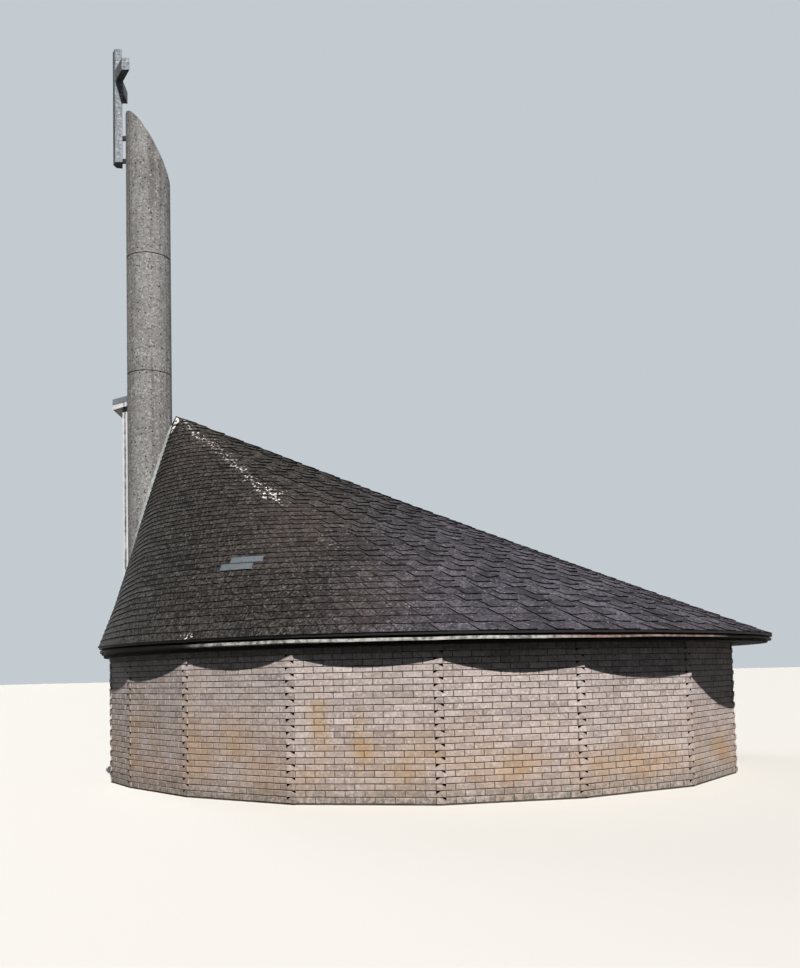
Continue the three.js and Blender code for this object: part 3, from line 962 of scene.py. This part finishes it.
def tower_ring(index, material):
    """One precast ring with eased edges at its joints, standing for its CAD section."""
    last = index == len(TOWER_JOINTS) - 1
    foot = TOWER_JOINTS[index] + (RING_GAP if index else 0)
    radius = TOWER_R - RING_INSIDE
    angles = np.linspace(0, 2 * math.pi, RING_SIDES, endpoint=False)
    rows = []

    def row(radius, height):
        x = TOWER_X + radius * np.cos(angles)
        y = TOWER_Y + radius * np.sin(angles)
        z = height(x, y) if callable(height) else np.full(RING_SIDES, height)
        rows.append(np.column_stack([x, y, z]))

    row(radius - TOWER_WALL, foot)
    row(radius - RING_EASE, foot)
    row(radius, foot + RING_EASE)
    if last:
        base = foot + RING_EASE
        for part in PARTS:
            row(radius, lambda x, y, part=part: base + (slant(x, y) - base) * part)
        for inset, down in TOP_EASE:
            row(radius - inset, lambda x, y, down=down: slant(x, y) - down)
    else:
        joint = TOWER_JOINTS[index + 1]
        for part in PARTS:
            row(radius, foot + (joint - foot) * part)
        row(radius, joint - RING_GAP - RING_EASE)
        row(radius - RING_EASE, joint - RING_GAP)
        row(radius - TOWER_WALL, joint - RING_GAP)

    # The last ring is closed at its top and foot, and the others are hollow
    pairs = row_pairs(len(rows))
    faces = faces_between(pairs[:-1] if last else pairs, RING_SIDES)
    if last:
        faces.append(tuple((len(rows) - 1) * RING_SIDES + i for i in range(RING_SIDES)))
        faces.append(tuple(reversed(range(RING_SIDES))))
    mesh = Mesh()
    mesh.put(np.concatenate(rows), faces)
    piece = mesh.piece(f"precast_ring_{index + 1}", material, "tower_concrete", smooth=True,
                       replaces=[f"tower_section_{index + 1}"])
    piece.data.set_sharp_from_angle(angle=math.radians(35))


# Lantern

# Painted shade of a dotted groove down the corner post and of the return beside it, as x
GROOVE_X = LANTERN[0] + 0.045
RETURN_X = LANTERN[0] + 0.088


def white_material():
    """White gloss paint on the lantern, chalking and streaked, with painted shade on its undersides."""
    material, tree, place = new_material("white_gloss_chalked_and_shaded")
    dirt = grain(tree, place, 0.05, 4.0)
    colour = stain(tree, "#DDDEE0", "#A9AAAB", (dirt, 0.45, 0.75, 0.0, 0.5))
    colour = stain(tree, colour, "#8E8F90", (grain(tree, place, 0.04, upright=0.05), 0.5, 0.7, 0.0, 0.35))
    x = add(tree, "SeparateXYZ", {0: place}).outputs[0]
    off = add(tree, "Math", {0: x, 1: GROOVE_X}, operation="SUBTRACT").outputs[0]
    off = add(tree, "Math", {0: off}, operation="ABSOLUTE").outputs[0]
    # Painted shade along the groove, broken up by the dirt pattern, and on the return beyond it
    colour = stain(tree, colour, "#4C4E52", (off, 0.020, 0.010), (dirt, 0.35, 0.60, 0.4, 1.0))
    colour = stain(tree, colour, "#74767B", (x, RETURN_X - 0.005, RETURN_X + 0.005, 0.0, 0.75))
    # Painted shade on the undersides
    colour = stain(tree, colour, "#191919", (facing(tree)[2], -0.3, -0.7))
    finish_material(tree, colour, 0.45, dirt, bump=0.15, depth=0.001)
    return material


def zinc_material():
    """Zinc sheet, weathered to a dull blue-grey."""
    material, tree, place = new_material("weathered_zinc")
    cloud = grain(tree, place, 0.15)
    colour = stain(tree, "#63686F", "#838A92", (cloud, 0.3, 0.7))
    finish_material(tree, colour, 0.5, cloud, bump=0.1, depth=0.001, Metallic=0.35)
    return material


def glass_material():
    """Clear float glass, coloured dark as painted shade of the unlit shaft behind it."""
    material, tree, place = new_material("float_glass")
    film = grain(tree, place, 0.2)
    colour = stain(tree, "#1B2226", "#2B3439", film)
    finish_material(tree, colour, 0.08, film, bump=0.02, depth=0.001, IOR=1.52)
    return material


def timber_material(name, board=0.0):
    """Planed softwood under worn oil stain, grain upright, in boards where a board width is given."""
    material, tree, place = new_material(name)
    fibre = grain(tree, place, 0.012, 5.0, upright=0.06)
    colour = stain(tree, "#3F2B1E", "#7A5638", (fibre, 0.3, 0.7))
    if board:
        y = add(tree, "SeparateXYZ", {0: place}).outputs[1]
        off = add(tree, "Math", {0: y, 1: board / 2}, operation="PINGPONG").outputs[0]
        seam = mask(tree, (off, 0.005, 0.003))
        colour = stain(tree, colour, "#140E0A", seam)
        fibre = stain(tree, fibre, NOTHING, seam)
    finish_material(tree, colour, 0.6, fibre, bump=0.35, depth=0.002)
    return material


# Entrance, brackets and floor

# Pull bar on two stubs near the leaves' meeting edge: how far out each starts and ends, half its width,
# and the heights of its ends. Strap hinges at three heights, with their ends from the hung edge
PULL_IN = 0.09
PULL_BARS = [
    (0.040, 0.060, 0.012, 0.90, 1.25), (0.0, 0.042, 0.010, 0.93, 0.96), (0.0, 0.042, 0.010, 1.19, 1.22),
]
HINGE_HEIGHTS = (0.25, 1.00, 1.75)
HINGE_THICK = 0.006
HINGE_TALL = 0.045
HINGE_ENDS = (0.01, 0.36)


def door_fittings(material):
    """Pull handle and three strap hinges on the outside of each door leaf."""
    for leaf in ("door_leaf_south", "door_leaf_north"):
        low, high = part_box(leaf)
        south = leaf.endswith("south")
        meeting, hung = (high[1], low[1]) if south else (low[1], high[1])
        inwards = -1 if south else 1
        pull = meeting + PULL_IN * inwards
        bars = [(x0, x1, pull - half, pull + half, z0, z1) for x0, x1, half, z0, z1 in PULL_BARS]
        ends = sorted(hung - end * inwards for end in HINGE_ENDS)
        bars += [(0.0, HINGE_THICK, *ends, z, z + HINGE_TALL) for z in HINGE_HEIGHTS]
        fittings = Mesh()
        for x0, x1, y0, y1, z0, z1 in bars:
            plan = [(high[0] + x, y) for x, y in ((x0, y0), (x1, y0), (x1, y1), (x0, y1))]
            points = [(x, y, z) for z in (z0, z1) for x, y in plan]
            fittings.put(points, [(3, 2, 1, 0), (4, 5, 6, 7)] + faces_between([(0, 1)], 4))
        fittings.piece(leaf.replace("leaf", "fittings"), material, "bracket_steel")


def steel_material():
    """Mild steel under old black paint, rusting in patches."""
    material, tree, place = new_material("rusting_black_steel")
    cloud = grain(tree, place, 0.03, 4.0)
    colour = stain(tree, "#17171A", "#2A1D18", (cloud, 0.42, 0.62))
    finish_material(tree, colour, 0.7, cloud, bump=0.3, depth=0.001)
    return material


def slab_material():
    """Floated concrete floor, grey and closed."""
    material, tree, place = new_material("floated_concrete")
    cloud = grain(tree, place, 0.2, 4.0)
    colour = stain(tree, "#858480", "#A3A19B", (cloud, 0.3, 0.7))
    finish_material(tree, colour, 0.85, cloud, bump=0.2, depth=0.002)
    return material


# Stage, light and camera

# Half the floor's side, radius of the backdrop, and the ambient light from below and above, linear
FLOOR_HALF = 400
BACKDROP_RADIUS = 380
LIGHT_BELOW = (0.044, 0.044, 0.043, 1)
LIGHT_ABOVE = (0.082, 0.098, 0.118, 1)


def floor_and_backdrop():
    """Pale paper floor, and an evenly lit paper backdrop all round."""
    far = FLOOR_HALF
    corners = [(-far, -far, 0), (far, -far, 0), (far, far, 0), (-far, far, 0)]
    floor_mesh = bpy.data.meshes.new("studio_floor")
    floor_mesh.from_pydata(corners, [], [(0, 1, 2, 3)])
    floor = bpy.data.objects.new("studio_floor", floor_mesh)
    bpy.context.scene.collection.objects.link(floor)
    material, tree, _ = new_material("pale_studio_paper")
    finish_material(tree, linear("#C9C7C3"), 0.9)
    floor_mesh.materials.append(material)
    floor.visible_diffuse = False

    dome_mesh = bpy.data.meshes.new("studio_backdrop")
    shape = bmesh.new()
    bmesh.ops.create_uvsphere(shape, u_segments=48, v_segments=24, radius=BACKDROP_RADIUS)
    shape.to_mesh(dome_mesh)
    shape.free()
    dome = bpy.data.objects.new("studio_backdrop", dome_mesh)
    bpy.context.scene.collection.objects.link(dome)
    material, tree, _ = new_material("pale_backdrop_paper")
    glow = add(tree, "Emission", {"Color": linear("#C3CBD1"), "Strength": 1.0})
    add(tree, "OutputMaterial", {"Surface": glow.outputs[0]})
    dome_mesh.materials.append(material)
    dome.visible_diffuse = False
    dome.visible_shadow = False
    dome.visible_glossy = False


def lamp(name, turn, height, energy, spread, colour):
    """Sun lamp from a turn east of the front and a height, both in degrees, as wide as its spread."""
    data = bpy.data.lights.new(name, "SUN")
    data.energy = energy
    data.angle = math.radians(spread)
    data.color = colour
    light = bpy.data.objects.new(name, data)
    turn, height = math.radians(turn), math.radians(height)
    level = math.cos(height)
    towards = Vector((math.sin(turn) * level, -math.cos(turn) * level, math.sin(height)))
    light.rotation_euler = towards.to_track_quat("Z", "Y").to_euler()
    bpy.context.scene.collection.objects.link(light)


def lights():
    """Key lamp high in front, weak fill for the far side, and ambient light, bluish from above."""
    lamp("key", 12, 54.5, 5.6, 0.8, (1.0, 0.97, 0.93))
    lamp("far_side_fill", 215, 18, 1.0, 20, (0.9, 0.95, 1.0))
    world = bpy.data.worlds.new("surround")
    bpy.context.scene.world = world
    world.use_nodes = True
    tree = world.node_tree
    up = add(tree, "SeparateXYZ", {0: add(tree, "TexCoord").outputs["Generated"]}).outputs[2]
    colour = stain(tree, LIGHT_BELOW, LIGHT_ABOVE, (up, -0.15, 0.25))
    tree.links.new(colour, tree.nodes["Background"].inputs["Color"])
    bpy.context.scene.view_settings.view_transform = "Standard"


# Camera, fitted to the wall's course lines and corners in the photograph, 800 by 968 pixels
CAMERA_PLACE = (-0.4633, -17.875, 1.683)
CAMERA_PITCH = 0.060
CAMERA_ROLL = -0.0224
FOCAL_PX = 990
SHIFT_PX = 128
FRAME_PX = 968
SENSOR_MM = 36


def camera():
    """Camera low in front, tipped up a little, with the lens set off as in the photograph."""
    data = bpy.data.cameras.new("view")
    data.sensor_fit = "AUTO"
    data.sensor_width = SENSOR_MM
    data.lens = SENSOR_MM * FOCAL_PX / FRAME_PX
    data.shift_y = SHIFT_PX / FRAME_PX
    data.clip_end = 500
    view = bpy.data.objects.new("view", data)
    tip = Matrix.Rotation(math.pi / 2 + CAMERA_PITCH, 4, "X")
    view.matrix_world = Matrix.Translation(CAMERA_PLACE) @ tip @ Matrix.Rotation(CAMERA_ROLL, 4, "Z")
    bpy.context.scene.collection.objects.link(view)
    bpy.context.scene.camera = view


# Everything put together
camera()
floor_and_backdrop()
lights()

brick = brick_material()
set_finish(mortar_material(), *[n for n in NODES if n.startswith("wall_panel")])
# Dark triangles painted as the shadows under the brick ends that poke past the corners
notch_shadow_mesh = Mesh()
for facet_index in range(len(WALL)):
    brick_facet(facet_index, brick, notch_shadow_mesh)
notch_shadow_mesh.piece("painted_corner_shadows", notch_shadow_material(), "brick")

set_finish(felt_material(), "roof_shell")
shingle_roof(shingle_material())
repair_slips(slip_material())
tower_flashing(flashing_material())
apex_sealant(sealant_material())
strip_finish = strip_material()
set_finish(strip_finish, "eave_strip")
# On the wall head this near-black stands for painted shade under the soffit
set_finish(board_material(), "eave_fascia", "eave_soffit", "wall_head")
drip_lath(strip_finish)

tower_concrete = concrete_material("precast_tower_concrete", "#605D5B", "#838180", "#A5A4A2",
                                   holes=0.6, white=0.45, streak=0.8)
for section in range(len(TOWER_JOINTS)):
    tower_ring(section, tower_concrete)
cross_concrete = concrete_material("weathered_and_shaded_cross_concrete", "#6C7076", "#899097", "#B1B9C3",
                                   holes=0.15, white=0.7, streak=0.5, shade_share=0.9)
set_finish(cross_concrete, "cross_shaft", "cross_arm_south", "cross_arm_north")
soften(0.012, "cross_shaft", "cross_arm_south", "cross_arm_north")
black_steel = steel_material()
set_finish(black_steel, "cross_bracket_1", "cross_bracket_2")

set_finish(white_material(), "lantern_frame", "lantern_cap")
set_finish(zinc_material(), "lantern_cap_roof")
set_finish(glass_material(), "lantern_glass_west", "lantern_glass_north")
soften(0.004, "lantern_frame", "lantern_cap", "lantern_cap_roof")

set_finish(timber_material("oiled_frame_timber"), "door_frame")
set_finish(timber_material("oiled_door_boards", board=0.12), "door_leaf_south", "door_leaf_north")
door_fittings(black_steel)
set_finish(slab_material(), "floor_slab")
